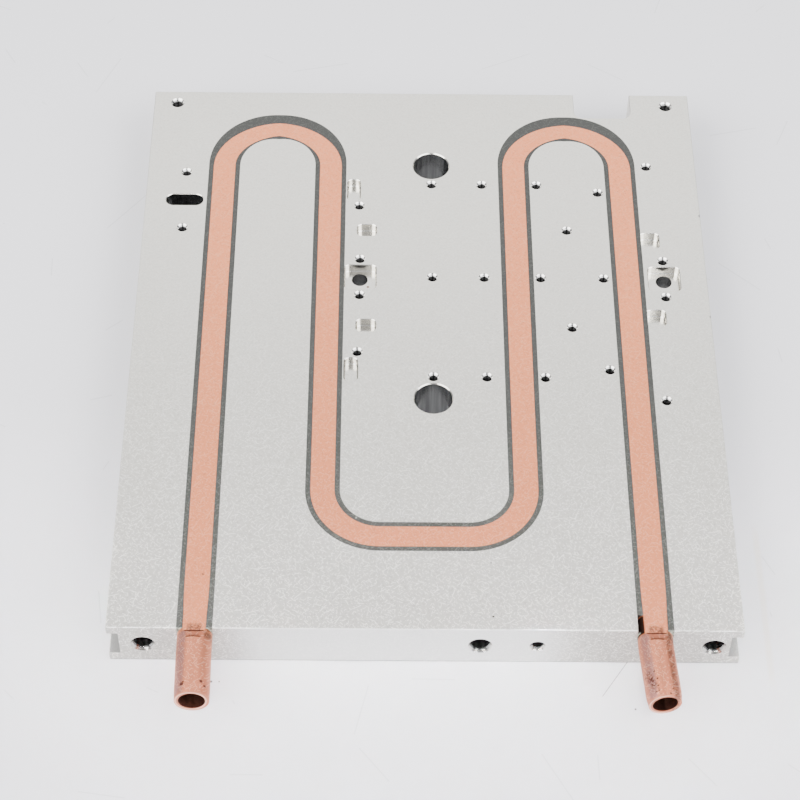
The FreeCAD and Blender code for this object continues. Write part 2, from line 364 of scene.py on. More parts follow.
plate = plate_stock()
cutting_section = slot_section("groove section", groove_to_axis + 0.5)
groove = swept(groove_shape, groove_route("groove route", front - 1.0), cutting_section, True,
               "groove cutter")
strap_column = -77.3
dowel_places = [(2.95, module_line + side * 49.3) for side in (-1, 1)]
post_places = [(x, module_line + 1.3) for x in (-20.0, 76.65)]
pocket_depth = 3.0
bores = [groove.data,
         end_mill(60.75, rear, 9.45, 11.1, 3.0, None, steps=10),
         end_mill(strap_column, strap_line, 6.0, 2.4, 2.39, None, steps=14)]
bores += [end_mill(x, y, 5.75, 5.75, 5.749, None, 0.3, 20) for x, y in dowel_places]
pocket_spaces = [(x, module_line, 5.05, 5.05) for x in (-19.8, 76.45)]
for side in (-1, 1):
    pocket_spaces += [(-17.9, module_line + side * 20.2, 3.1, 2.45),
                      (72.85, module_line + side * 16.4, 3.1, 3.25),
                      (-22.3, module_line + side * 38.1, 2.1, 4.65)]
plate = cut_away(plate, bores)
plate = cut_away(plate, [end_mill(x, y, half_x, half_y, 1.6, pocket_depth)
                         for x, y, half_x, half_y in pocket_spaces])
plate = cut_away(plate, [end_mill(x, y, 2.55, 2.55, 2.549, None, 0.12, 12)
                         for x, y in post_places])
bpy.data.objects.remove(groove)
bpy.data.objects.remove(cutting_section)

# ---- The tapped holes --------------------------------------------------------------------------
# Blind holes drilled in the plate, countersunk and cut with a tap: M3 and M4 down from the top
# face, M6 and M4 into the front face.  The thread is a helical V, and below it the drill's plain
# bore and point are left.


def build_tapping_tree():
    """Cuts a tapped hole into the plate at every point of another object."""
    tree = bpy.data.node_groups.new("tapped holes", "GeometryNodeTree")
    face = tree.interface
    face.new_socket("Plate", in_out="INPUT", socket_type="NodeSocketGeometry")
    face.new_socket("Hole Places", in_out="INPUT", socket_type="NodeSocketObject")
    face.new_socket("Finish", in_out="INPUT", socket_type="NodeSocketMaterial")
    face.new_socket("Drill Axis Tilt", in_out="INPUT", socket_type="NodeSocketFloat")
    face.new_socket("Sides", in_out="INPUT", socket_type="NodeSocketInt")
    face.new_socket("Rows", in_out="INPUT", socket_type="NodeSocketInt")
    for label in ("Thread Radius", "Thread Height", "Pitch", "Tapped Depth", "Drilled Depth",
                  "Countersink"):
        face.new_socket(label, in_out="INPUT", socket_type="NodeSocketFloat")
    face.new_socket("Tapped Plate", in_out="OUTPUT", socket_type="NodeSocketGeometry")
    given = tree.nodes.new("NodeGroupInput").outputs
    above = 0.0004
    length = maths(tree, "ADD", given["Tapped Depth"], above)
    rod = add(tree, "GeometryNodeMeshCylinder",
              {"Vertices": given["Sides"], "Side Segments": given["Rows"], "Radius": 1.0,
               "Depth": length}, fill_type="TRIANGLE_FAN").outputs[0]
    place = tree.nodes.new("GeometryNodeInputPosition").outputs[0]
    x, y, z_centred = add(tree, "ShaderNodeSeparateXYZ", {0: place}).outputs
    z = maths(tree, "SUBTRACT", maths(tree, "ADD", z_centred, above),
              maths(tree, "DIVIDE", length, 2.0))
    turn = maths(tree, "DIVIDE", maths(tree, "ARCTAN2", y, x), 2 * math.pi)
    along_pitch = maths(tree, "SUBTRACT", maths(tree, "DIVIDE", z, given["Pitch"]), turn)
    wave = maths(tree, "PINGPONG", maths(tree, "MULTIPLY", along_pitch, 2.0), 1.0)
    ridge = maths(tree, "MULTIPLY", wave, given["Thread Height"])
    deepest = maths(tree, "MULTIPLY", given["Tapped Depth"], -1.0)
    runout = add(tree, "ShaderNodeMapRange", {"Value": z, "From Min": deepest,
                                              "From Max": maths(tree, "ADD", deepest,
                                                                given["Pitch"])}).outputs[0]
    root = maths(tree, "SUBTRACT", given["Thread Radius"], given["Thread Height"])
    threaded = maths(tree, "MULTIPLY_ADD", ridge, runout, root)
    cone = maths(tree, "ADD", maths(tree, "ADD", given["Thread Radius"], given["Countersink"]),
                 maths(tree, "MINIMUM", z, 0.00001))
    radius = maths(tree, "MAXIMUM", threaded, cone)
    flat_place = add(tree, "ShaderNodeCombineXYZ", {0: x, 1: y, 2: 0.0}).outputs[0]
    outward = vectors(tree, "NORMALIZE", flat_place)
    at_axis = maths(tree, "LESS_THAN", vectors(tree, "LENGTH", flat_place), 0.5)
    at_bottom = maths(tree, "LESS_THAN", z, maths(tree, "ADD", deepest, 0.00002))
    below = maths(tree, "SUBTRACT", given["Drilled Depth"], given["Tapped Depth"])
    point_drop = maths(tree, "MULTIPLY", maths(tree, "MULTIPLY", at_axis, root), 0.6)
    drop = maths(tree, "MULTIPLY", at_bottom, maths(tree, "ADD", below, point_drop))
    shaped = add(tree, "ShaderNodeVectorMath", {0: outward, "Scale": radius},
                 operation="SCALE").outputs[0]
    lowered = add(tree, "ShaderNodeCombineXYZ", {2: maths(tree, "SUBTRACT", z, drop)}).outputs[0]
    tap = add(tree, "GeometryNodeSetPosition",
              {"Geometry": rod, "Position": vectors(tree, "ADD", shaped, lowered)}).outputs[0]
    places = add(tree, "GeometryNodeObjectInfo", {0: given["Hole Places"]}).outputs["Geometry"]
    tilt = add(tree, "ShaderNodeCombineXYZ", {0: given["Drill Axis Tilt"]}).outputs[0]
    taps = add(tree, "GeometryNodeInstanceOnPoints",
               {"Points": places, "Instance": tap, "Rotation": tilt}).outputs[0]
    real_taps = add(tree, "GeometryNodeRealizeInstances", {0: taps}).outputs[0]
    cut = add(tree, "GeometryNodeMeshBoolean", {"Mesh 1": given["Plate"], "Mesh 2": real_taps},
              operation="DIFFERENCE", solver="EXACT").outputs[0]
    real = add(tree, "GeometryNodeRealizeInstances", {0: cut}).outputs[0]
    finished = add(tree, "GeometryNodeSetMaterial", {"Geometry": real,
                                                     "Material": given["Finish"]}).outputs[0]
    tree.links.new(finished, tree.nodes.new("NodeGroupOutput").inputs[0])
    return tree


aluminium = bpy.data.materials.new("milled aluminium")
tapping_tree = build_tapping_tree()


def tap_holes(plate, places, tilt, sides, rows_per_turn, radius, height, pitch, tapped, drilled,
              countersink):
    points = bpy.data.meshes.new("hole places")
    points.from_pydata([Vector(place) * MM for place in places], [], [])
    holder = piece_from(points, "hole places")
    tapping = plate.modifiers.new("tapped holes", "NODES")
    tapping.node_group = tapping_tree
    values = {"Hole Places": holder, "Finish": aluminium, "Drill Axis Tilt": tilt, "Sides": sides,
              "Rows": round(rows_per_turn * tapped / pitch), "Thread Radius": radius * MM,
              "Thread Height": height * MM, "Pitch": pitch * MM, "Tapped Depth": tapped * MM,
              "Drilled Depth": drilled * MM, "Countersink": countersink * MM}
    for item in tapping_tree.interface.items_tree:
        if item.in_out == "INPUT" and item.name in values:
            tapping[item.identifier] = values[item.name]
    made = finished_mesh(plate, "aluminium_plate")
    bpy.data.objects.remove(holder)
    return made


small_places = [(x, module_line, top) for x in (3.0, 19.4, 37.3, 57.2)]
for x, offset in ((3.0, 40.8), (19.4, 40.8), (37.3, 40.8), (57.2, 37.6), (46.4, 20.6),
                  (-20.0, 7.65), (-20.45, 31.0), (76.45, 7.65), (73.8, 49.6)):
    small_places += [(x, module_line - offset, top), (x, module_line + offset, top)]
small_places += [(strap_column, strap_line + offset, top) for offset in (-12.45, 12.45)]
corner_places = [(side * (half_width - 7.8), rear - 5.3, top) for side in (-1, 1)]
large_columns = (-80.0, 15.7, 82.2)
medium_column = 32.0
upright, level = 0.0, math.pi / 2
m3 = {"radius": 1.5, "height": 0.27, "pitch": 0.5}
m4 = {"radius": 2.0, "height": 0.38, "pitch": 0.7}
m6 = {"radius": 3.0, "height": 0.54, "pitch": 1.0}
plate = tap_holes(plate, small_places, upright, 24, 6, **m3,
                  tapped=5.0, drilled=7.0, countersink=0.34)
plate = tap_holes(plate, corner_places, upright, 24, 6, **m4,
                  tapped=7.0, drilled=9.0, countersink=0.25)
plate = tap_holes(plate, [(x, front, middle) for x in large_columns], level, 36, 8, **m6,
                  tapped=11.0, drilled=13.5, countersink=0.50)
plate = tap_holes(plate, [(medium_column, front, middle)], level, 24, 8, **m4,
                  tapped=9.0, drilled=13.5, countersink=0.35)


def mark_bores(mesh, spaces):
    """Give each face the share of the last space that it lies in, and 0 outside them all."""
    shares = []
    for face in mesh.polygons:
        x, y, z = face.center / MM
        share = 0.0
        for left, near, low, right, far, high, inside in spaces:
            if left < x < right and near < y < far and low < z < high:
                share = inside
        shares.append(share)
    mesh.attributes.new("bore", "FLOAT", "FACE").data.foreach_set("value", shares)


def space(x, y, half_x, half_y, low, high, share):
    return (x - half_x, y - half_y, low, x + half_x, y + half_y, high, share)


mouth_share, post_share, dowel_share, thread_share = 0.4, 0.6, 0.75, 1.0
under = 0.2                 # the spaces stop this far above the underside
skin = 0.02                 # and this far below the top face
spaces = []
for x, y, half_x, half_y in pocket_spaces:
    spaces.append(space(x, y, half_x + 0.4, half_y + 0.4, top - 3.2, top - skin, mouth_share))
for x, y, half_x, half_y in ([(x, y, 6.2, 6.2) for x, y in dowel_places]
                             + [(strap_column, strap_line, 6.3, 2.7)]):
    spaces.append(space(x, y, half_x, half_y, under, top - skin, mouth_share))
    spaces.append(space(x, y, half_x, half_y, under, top - 0.3, dowel_share))
for x, y in post_places:
    spaces.append(space(x, y, 2.8, 2.8, under, top - pocket_depth - 0.05, post_share))
for x, y, half in ([(x, y, 1.95) for x, y, _ in small_places]
                   + [(x, y, 2.5) for x, y, _ in corner_places]):
    spaces.append(space(x, y, half, half, under, top - skin, mouth_share))
    spaces.append(space(x, y, half, half, under, top - 0.10, thread_share))
for x, half in [(x, 3.5) for x in large_columns] + [(medium_column, 2.5)]:
    for start, share in ((skin, mouth_share), (0.52, thread_share)):
        spaces.append((x - half, front + start, middle - half,
                       x + half, front + 15.0, middle + half, share))
mark_bores(plate.data, spaces)
plate.data.shade_smooth()
plate.data.set_sharp_from_angle(angle=math.radians(20))
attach(plate, "root")
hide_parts("base_plate")


# The last facing pass leaves a fine satin with no one direction.  Handling leaves short bright
# scratches that lean mostly two ways, more of them near the front edge.
def colour_of(tree, low, high, factor):
    made = add(tree, "ShaderNodeMix", {0: factor, 6: (*low, 1.0), 7: (*high, 1.0)},
               data_type="RGBA")
    return made.outputs[2]


def laid_over(tree, under, over, factor):
    sockets = {0: factor, 6: under, 7: over if isinstance(over, bpy.types.NodeSocket)
               else (*over, 1.0)}
    return add(tree, "ShaderNodeMix", sockets, data_type="RGBA").outputs[2]


def layered(tree, coat, layers):
    """Colours laid over one another, each with its share, the last one on top."""
    for over, share in layers:
        coat = laid_over(tree, coat, over, share)
    return coat


def grain(tree, place, per_mm, detail=3.0, rough=0.6):
    sockets = {"Vector": place, "Scale": per_mm, "Detail": detail, "Roughness": rough}
    return add(tree, "ShaderNodeTexNoise", sockets).outputs[0]


def millimetres(tree):
    """Object coordinates in millimetres."""
    spot = tree.nodes.new("ShaderNodeTexCoord").outputs["Object"]
    return add(tree, "ShaderNodeVectorMath", {0: spot, "Scale": 1000.0},
               operation="SCALE").outputs[0]


def scratches(tree, place, spacing, length, width, share, shift, lean, fan):
    """Short straight marks, one in a share of the cells, fanned out about a leaning line."""
    spread = vectors(tree, "ADD", vectors(tree, "DIVIDE", place, (spacing,) * 3), shift)
    cells = add(tree, "ShaderNodeTexVoronoi", {"Vector": spread, "Scale": 1.0},
                voronoi_dimensions="2D")
    away = vectors(tree, "SUBTRACT", spread, cells.outputs["Position"])
    x, y, _ = add(tree, "ShaderNodeSeparateXYZ", {0: away}).outputs
    pick, chance, size = add(tree, "ShaderNodeSeparateColor",
                             {0: cells.outputs["Color"]}).outputs
    angle = maths(tree, "MULTIPLY_ADD", pick, fan, lean - fan / 2)
    sine, cosine = maths(tree, "SINE", angle), maths(tree, "COSINE", angle)
    along = maths(tree, "ADD", maths(tree, "MULTIPLY", x, cosine), maths(tree, "MULTIPLY", y, sine))
    across = maths(tree, "SUBTRACT", maths(tree, "MULTIPLY", y, cosine),
                   maths(tree, "MULTIPLY", x, sine))
    reach = maths(tree, "MULTIPLY", size, length / spacing)
    in_length = maths(tree, "LESS_THAN", maths(tree, "ABSOLUTE", along), reach)
    in_width = between(tree, maths(tree, "ABSOLUTE", across), 0.0, width / spacing, 1.0, 0.0)
    kept = maths(tree, "LESS_THAN", chance, share)
    return maths(tree, "MULTIPLY", maths(tree, "MULTIPLY", in_length, in_width), kept)


def face_place(tree, place):
    """Flat coordinates that run across the top, the front and the side faces alike."""
    x, y, z = add(tree, "ShaderNodeSeparateXYZ", {0: place}).outputs
    return add(tree, "ShaderNodeCombineXYZ", {0: maths(tree, "MULTIPLY_ADD", z, 0.37, x),
                                              1: maths(tree, "ADD", y, z)}).outputs[0]


def all_marks(tree, place, shift):
    """Layers of scratch laid over one another, leaning mostly two ways."""
    flat = face_place(tree, place)
    marks = 0.0
    for spacing, length, width, share, move, lean in (
            (3.6, 1.9, 0.20, 0.6, 0.0, 0.7), (2.0, 1.0, 0.18, 0.8, 3.1, -0.6),
            (1.3, 0.62, 0.16, 0.9, 7.7, 0.9), (1.1, 0.50, 0.15, 0.9, 12.3, -0.9)):
        layer = scratches(tree, flat, spacing, length, width, share, (move + shift, move, 0.0),
                          lean, 1.1)
        marks = maths(tree, "MAXIMUM", marks, layer)
    return marks


def band(tree, value, centre, half, soft):
    """1 within half a width of a centre value, falling to 0 over a soft edge."""
    away = maths(tree, "ABSOLUTE", maths(tree, "SUBTRACT", value, centre))
    return between(tree, away, half, half + soft, 1.0, 0.0)


def product(tree, *values):
    result = values[0]
    for value in values[1:]:
        result = maths(tree, "MULTIPLY", result, value)
    return result


def spots(tree, place, centres, wobble=0.0):
    """Soft round patches of 1 at (x, y, radius) places, seen from above."""
    x, y, _ = add(tree, "ShaderNodeSeparateXYZ", {0: place}).outputs
    result = 0.0
    for centre_x, centre_y, radius in centres:
        aside = maths(tree, "SUBTRACT", x, centre_x)
        ahead = maths(tree, "SUBTRACT", y, centre_y)
        away = maths(tree, "SQRT", maths(tree, "ADD", product(tree, aside, aside),
                                         product(tree, ahead, ahead)))
        if wobble != 0.0:
            away = maths(tree, "ADD", away, wobble)
        result = maths(tree, "MAXIMUM", result,
                       between(tree, away, 0.45 * radius, radius, 1.0, 0.0))
    return result


def surface(material, colour, metallic, roughness, height=None, depth=0.0):
    tree = material.node_tree
    shader = tree.nodes["Principled BSDF"]
    for name, value in (("Base Color", colour), ("Metallic", metallic), ("Roughness", roughness)):
        if isinstance(value, bpy.types.NodeSocket):
            tree.links.new(value, shader.inputs[name])
        else:
            shader.inputs[name].default_value = value
    if height is not None:
        bump = add(tree, "ShaderNodeBump", {"Height": height, "Strength": 1.0,
                                            "Distance": depth * MM})
        tree.links.new(bump.outputs[0], shader.inputs["Normal"])


def finish_aluminium():
    aluminium.use_nodes = True
    tree = aluminium.node_tree
    place = millimetres(tree)
    x, y, z = add(tree, "ShaderNodeSeparateXYZ", {0: place}).outputs
    bore = add(tree, "ShaderNodeAttribute", {}, attribute_name="bore").outputs["Fac"]
    blotch = grain(tree, place, 0.03, 2.0)
    fine = grain(tree, place, 1.5, 4.0, 0.8)
    streak = grain(tree, vectors(tree, "MULTIPLY", place, (1.0, 1.0, 0.06)), 0.5, 2.0)
    worn = between(tree, y, front + 150.0, front, 0.3, 1.0)
    outside = between(tree, bore, 0.1, 0.3, 1.0, 0.0)
    marks = product(tree, all_marks(tree, place, 0.0), worn, outside)
    grained = product(tree, between(tree, fine, 0.47, 0.72), worn, 0.85)
    # The top front edge is filed, and its bevel is painted near white along a ragged line: a
    # painted highlight.
    ragged = between(tree, grain(tree, place, 0.8, 3.0, 0.7), 0.38, 0.52)
    front_edge_filing_and_highlight = product(tree, between(tree, y, front + 0.34, front + 0.14), ragged,
                         between(tree, z, top - 0.34, top - 0.16))
    nick = spots(tree, place, [(half_width, 52.3, 0.9), (half_width, 9.0, 0.7)])
    fleck = spots(tree, place, [(-17.4, 23.1, 0.55)])
    # The middle of the front face is painted brighter: a painted pool of light.
    front_face_light_pool = product(tree, between(tree, y, front + 0.3, front + 0.1),
                          between(tree, maths(tree, "ABSOLUTE", maths(tree, "ADD", x, 8.0)),
                                  54.0, 38.0), 0.75)
    pit = spots(tree, place, [(19.2, front + 4.5, 0.42), (19.0, front + 23.0, 0.30)])
    # A thin darker line along the foot of the front face is painted shadow where the plate meets
    # the table.
    foot_shadow = product(tree, between(tree, z, 0.55, 0.25), between(tree, y, front + 0.5, front + 0.2))
    # Inside the side rail grooves the faces are painted darker: a painted shade under the upper
    # lip.
    rail_floor = half_width - rail_depth
    rail_groove_shade = product(tree, between(tree, maths(tree, "ABSOLUTE", x), rail_floor - 0.09,
                                    rail_floor - 0.03),
                      band(tree, z, middle, rail_half_height, 0.06),
                      between(tree, y, front + 0.1, front + 0.3), 0.85)
    post_wall = colour_of(tree, (0.66, 0.66, 0.66), (0.88, 0.88, 0.87), streak)
    # The dowel bores are painted darker than the milled faces, a painted shade inside the holes,
    # with soft vertical streaks.
    dowel_wall_shaded = colour_of(tree, (0.36, 0.362, 0.360), (0.60, 0.602, 0.596),
                           between(tree, streak, 0.35, 0.65))
    # The thread is painted from pale at the mouth to near black 1.35 mm down: a painted shade
    # deepening into the tapped holes.
    depth = maths(tree, "MINIMUM", maths(tree, "SUBTRACT", top, z),
                  maths(tree, "SUBTRACT", y, front))
    threaded = colour_of(tree, (0.66, 0.655, 0.64), (0.010, 0.010, 0.010),
                         between(tree, depth, 0.20, 1.35))
    milled = colour_of(tree, (0.735, 0.715, 0.660), (0.775, 0.755, 0.700), blotch)
    coat = layered(tree, milled, [
        ((0.585, 0.568, 0.530), between(tree, y, front + 190.0, front)),
        ((0.40, 0.385, 0.355), grained), ((1.0, 0.99, 0.96), product(tree, marks, 0.95)),
        ((1.0, 0.99, 0.97), front_edge_filing_and_highlight), ((0.36, 0.35, 0.33), nick), ((0.20, 0.11, 0.07), fleck),
        ((0.93, 0.93, 0.92), front_face_light_pool), ((0.05, 0.04, 0.03), pit), ((0.34, 0.34, 0.36), foot_shadow),
        ((0.42, 0.42, 0.41), rail_groove_shade), (post_wall, between(tree, bore, 0.5, 0.55)),
        (dowel_wall_shaded, between(tree, bore, 0.65, 0.7)), (threaded, between(tree, bore, 0.85, 0.95))])
    satin = between(tree, fine, 0.35, 0.7, 0.36, 0.46)
    rubbed = maths(tree, "MULTIPLY_ADD", maths(tree, "MAXIMUM", marks, front_edge_filing_and_highlight), 0.42, satin)
    smooth = between(tree, bore, 0.1, 0.3)
    cut_rough = between(tree, bore, 0.45, 0.55, 0.22, 0.20)
    rough = maths(tree, "ADD", product(tree, rubbed, maths(tree, "SUBTRACT", 1.0, smooth)),
                  maths(tree, "MULTIPLY", smooth, cut_rough))
    height = maths(tree, "SUBTRACT", product(tree, fine, outside),
                   maths(tree, "MULTIPLY", marks, 0.8))
    surface(aluminium, coat, 1.0, rough, height, 0.010)


finish_aluminium()

# ---- The copper tube ---------------------------------------------------------------------------
# Half-hard copper tube, 10 mm across with a wall of about 1 mm, bent to the groove's route and
# pressed down until its crown is flat and level with the top face.  The rear bends pull it narrower
# and towards their inner side.  Both ends stay round outside the plate, sawn and lightly deburred.
tube_radius = 5.0
tube_wall = 1.1
tube_bend_y = rear - 34.7
tube_bend_depth = 16.9
flat_start = front - 0.8
front_dip = 0.25
stub_axis_z = top - groove_to_axis - front_dip
outlet_lean = 0.0734        # sideways for each millimetre forwards
lean_start = front - 4.2

tube_knots = [(-64.73, front - 21.6, -0.09, 6.3, 0.0),
              (-65.0, front - 4.6, 0.0, 0.5, 8.0),
              (-65.0, front - 0.4, 0.0, 0.6, 1.0),
              (-65.0, front + 8.0, 0.0, 2.3, 1.0)]
tube_inside = serpentine_points(tube_bend_y, tube_bend_depth)
tube_knots += tube_inside
tube_knots += [(65.0, front + 8.0, 0.0, -2.3, 1.0),
               (65.0, front - 0.4, 0.0, -0.6, 1.0),
               (65.02, front - 2.9, 0.02, -0.7, 1.0),
               (65.12, front - 4.8, 0.13, -1.8, 0.4),
               (66.37, front - 21.75, 0.37, -5.0, 1.0)]
tube_turns = [math.radians(5.625 * i) for i in range(64)]
tube_section = section_line("tube section", [
    (tube_radius * math.cos(turn), tube_radius * math.sin(turn)) for turn in tube_turns])
tube_shape = {"Bend Line": tube_bend_y * MM, "Bend Depth": tube_bend_depth * MM,
              "Bend Widening": -0.16, "Pressed Level": top * MM,
              "Neck Start": flat_start * MM, "Neck Length": 3.3 * MM,
              "Neck Rise": (tube_radius - groove_to_axis) * MM, "Front Dip": front_dip * MM,
              "Tip Line": (front - 21.7) * MM, "Tip Narrowing": 0.02, "Outlet Narrowing": 0.05,
              "Saw Skew": 0.035}
tube = swept(tube_shape, route("tube route", tube_knots, 18), tube_section, False, "copper_tube")
wall = tube.modifiers.new("wall", "SOLIDIFY")
wall.thickness = tube_wall * MM
wall.offset = -1.0
wall.use_even_offset = True
rims = tube.modifiers.new("deburred rims", "BEVEL")
rims.width = 0.26 * MM
rims.segments = 3
rims.limit_method = "ANGLE"
rims.angle_limit = math.radians(60)
tube = finished_mesh(tube, "copper_tube")
tube.data.shade_smooth()
tube.data.set_sharp_from_angle(angle=math.radians(18))


def mark_inside(mesh):
    """Give the bore's faces near the two ends a value of 1."""
    values = []
    for face in mesh.polygons:
        x, y, z = face.center / MM
        axis_x = (-outer_leg + 0.0140 * max(0.0, front - 2.4 - y) if x < 0
                  else outer_leg + outlet_lean * max(0.0, lean_start - y))
        away = math.hypot(x - axis_x, z - stub_axis_z)
        values.append(1.0 if y < front - 4.3 and away < 4.02 else 0.0)
    mesh.attributes.new("inside", "FLOAT", "FACE").data.foreach_set("value", values)


mark_inside(tube.data)
copper = bpy.data.materials.new("copper")


def finish_copper():
    copper.use_nodes = True
    tree = copper.node_tree
    place = millimetres(tree)
    x, y, z = add(tree, "ShaderNodeSeparateXYZ", {0: place}).outputs
    inside = add(tree, "ShaderNodeAttribute", {}, attribute_name="inside").outputs["Fac"]
    cloud = grain(tree, place, 0.05, 3.0)
    fine = grain(tree, place, 1.6, 4.0, 0.75)
    patches = grain(tree, place, 0.5, 4.0, 0.7)
    marks = all_marks(tree, place, 1.7)
    on_outlet = maths(tree, "GREATER_THAN", x, 0.0)
    lean = product(tree, on_outlet, outlet_lean,
                   maths(tree, "MAXIMUM", maths(tree, "SUBTRACT", lean_start, y), 0.0))
    leg_x = maths(tree, "MULTIPLY_ADD", on_outlet, 2 * outer_leg, -outer_leg)
    aside = maths(tree, "SUBTRACT", maths(tree, "SUBTRACT", x, leg_x), lean)
    from_axis = maths(tree, "ABSOLUTE", aside)
    stub = between(tree, y, front - 0.6, front - 1.4)

    # The flat crown is painted brighter towards the rear, a painted light gradient, over a random
    # cloud.
    painted_light_to_rear = between(tree, y, front + 10.0, rear - 20.0, 0.0, 0.7)
    flat = colour_of(tree, (0.74, 0.246, 0.119), (0.95, 0.335, 0.163),
                     maths(tree, "MULTIPLY_ADD", cloud, 0.3, painted_light_to_rear))
    drawn = colour_of(tree, (0.49, 0.170, 0.094), (0.67, 0.240, 0.136), patches)
    left_flank = product(tree, band(tree, aside, -3.3, 0.6, 0.9), stub,
                         between(tree, patches, 0.25, 0.55), 0.75)
    right_flank = product(tree, band(tree, aside, 3.2, 0.5, 0.7), stub, on_outlet,
                          between(tree, patches, 0.34, 0.56), 0.85)
    rim = between(tree, maths(tree, "ADD", y, product(tree, on_outlet, 0.35)),
                  front - 21.15, front - 21.40)
    from_centre = maths(tree, "SQRT", maths(tree, "ADD", product(tree, aside, aside), maths(
        tree, "POWER", maths(tree, "SUBTRACT", z, stub_axis_z), 2.0)))
    # A thin bright ring near the bore on the sawn ends is the burnished deburr, painted brighter as
    # a highlight.
    burnished_ring_and_highlight = product(tree, rim, band(tree, from_centre, 4.28, 0.10, 0.22), 0.8)
    # Dark lines across the crown where the pressed flat rises to the round stub: painted shade in
    # the creases.
    crease_shade = product(tree, band(tree, y, front - 0.85, 0.10, 0.22),
                     band(tree, from_axis, 0.0, 2.5, 0.7))
    second_crease_shade = product(tree, band(tree, y, front - 3.4, 0.08, 0.26),
                     band(tree, from_axis, 0.0, 1.6, 0.8), between(tree, patches, 0.22, 0.42), 0.85)
    # Darker patches along the axis where the flat meets the front edge and on the neck's slope.
    dark_patches_by_neck = product(tree, maths(tree, "MAXIMUM", band(tree, y, front + 0.1, 0.7, 1.4),
                                 product(tree, band(tree, y, front - 2.9, 0.2, 0.5), 0.7)),
                     band(tree, from_axis, 0.0, 1.5, 1.1), between(tree, fine, 0.34, 0.56), 0.80)
    ragged = maths(tree, "MULTIPLY_ADD", fine, 0.9, -0.45)
    grime = spots(tree, place, [
        (-67.4, front - 18.7, 0.75), (-67.0, front - 18.1, 0.45), (-62.1, front - 17.8, 0.62),
        (-61.1, front - 18.9, 0.50), (-63.5, front + 18.4, 0.40), (62.5, front - 15.9, 0.45),
        (64.1, front - 16.2, 0.38), (64.2, front - 18.4, 0.36), (67.5, front - 20.9, 0.40),
        (68.3, front - 19.3, 0.36), (63.4, front - 13.7, 0.36)], ragged)
    slanted = maths(tree, "MULTIPLY_ADD", maths(tree, "SUBTRACT", y, front - 18.5), 0.30, aside)
    cluster = product(tree, band(tree, slanted, -2.7, 0.5, 0.7), on_outlet,
                      band(tree, y, front - 17.5, 3.4, 1.2), between(tree, fine, 0.44, 0.60))
    # Darker patches on each stub's right flank, just in front of the plate.
    dark_patch_beside_stub = product(tree, band(tree, y, front - 1.6, 1.0, 1.6),
                          band(tree, aside, 3.9, 0.5, 0.8),
                          between(tree, patches, 0.38, 0.56), 0.8)
    # The tube's side in the broken-out chip beside the outlet is painted near black: a painted
    # shade in the hollow.
    chip_shade = product(tree, band(tree, x, 60.6, 1.3, 0.5), band(tree, y, front + 2.2, 2.6, 0.6),
                      between(tree, z, top - 0.02, top - 0.2))
    # The bore near each end is painted near black with patches: a painted shade inside the tube.
    bore_shade = colour_of(tree, (0.035, 0.016, 0.012), (0.16, 0.065, 0.045), patches)
    coat = layered(tree, flat, [
        (drawn, stub), ((0.42, 0.135, 0.075), product(tree, between(tree, fine, 0.50, 0.76), 0.60)),
        ((0.34, 0.17, 0.165), left_flank), ((0.20, 0.075, 0.05), right_flank),
        ((0.99, 0.58, 0.40), product(tree, marks, 0.40)),
        ((0.60, 0.225, 0.132), product(tree, rim, 0.8)), ((0.99, 0.62, 0.47), burnished_ring_and_highlight),
        ((0.10, 0.040, 0.030), dark_patches_by_neck),
        ((0.045, 0.014, 0.010), maths(tree, "MAXIMUM", crease_shade, second_crease_shade)),
        ((0.075, 0.028, 0.022), product(tree, maths(tree, "MAXIMUM", grime, cluster), 0.9)),
        ((0.13, 0.06, 0.04), dark_patch_beside_stub), ((0.05, 0.024, 0.016), chip_shade), (bore_shade, inside)])
    rough = maths(tree, "ADD", maths(tree, "MULTIPLY_ADD", fine, 0.14, 0.33),
                  product(tree, maths(tree, "MAXIMUM", marks, stub), 0.10))
    height = maths(tree, "SUBTRACT", fine, maths(tree, "MULTIPLY", marks, 0.8))
    surface(copper, coat, 1.0, rough, height, 0.012)


finish_copper()
tube.data.materials.clear()
tube.data.materials.append(copper)
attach(tube, "root")
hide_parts("coolant_tube")

# ---- The thermal epoxy -------------------------------------------------------------------------
# Grey filled epoxy, poured round the tube, cured and faced off with the plate.  It shows as two
# bands along the tube, wide outside the rear bends, and a piece has broken out beside the outlet.
epoxy_section = slot_section("epoxy section", groove_to_axis)
epoxy = swept(groove_shape, groove_route("epoxy route", front), epoxy_section, True,
              "thermal_epoxy_fill")
tube_room = swept({**tube_shape, "Pressed Level": 1.0, "Saw Skew": 0.0},
                  route("tube room route", tube_knots, 18), tube_section, True, "tube room")


def broken_piece():
    """The lump of epoxy that is missing: an uneven block over the groove's inner wall."""
    shape = bmesh.new()
    bmesh.ops.create_cube(shape, size=1.0)
    bmesh.ops.subdivide_edges(shape, edges=shape.edges, cuts=7, use_grid_fill=True)
    for vert in shape.verts:
        depth = 2.4 if vert.co.y > -0.20 else 1.2
        place = Vector((59.0 + 5.0 * (vert.co.x + 0.5), front - 1.5 + 6.9 * (vert.co.y + 0.5),
                        top - depth + (depth + 1.0) * (vert.co.z + 0.5)))
        place += 0.5 * noise.noise_vector(place * 0.7)
        vert.co = place * MM
    mesh = bpy.data.meshes.new("broken piece")
    shape.to_mesh(mesh)
    shape.free()
    return mesh


epoxy = cut_away(epoxy, [tube_room.data])
epoxy = cut_away(epoxy, [broken_piece()])
bpy.data.objects.remove(tube_room)
bpy.data.objects.remove(tube_section)
bpy.data.objects.remove(epoxy_section)
epoxy.data.shade_smooth()
epoxy.data.set_sharp_from_angle(angle=math.radians(35))

grey_epoxy = bpy.data.materials.new("grey thermal epoxy")


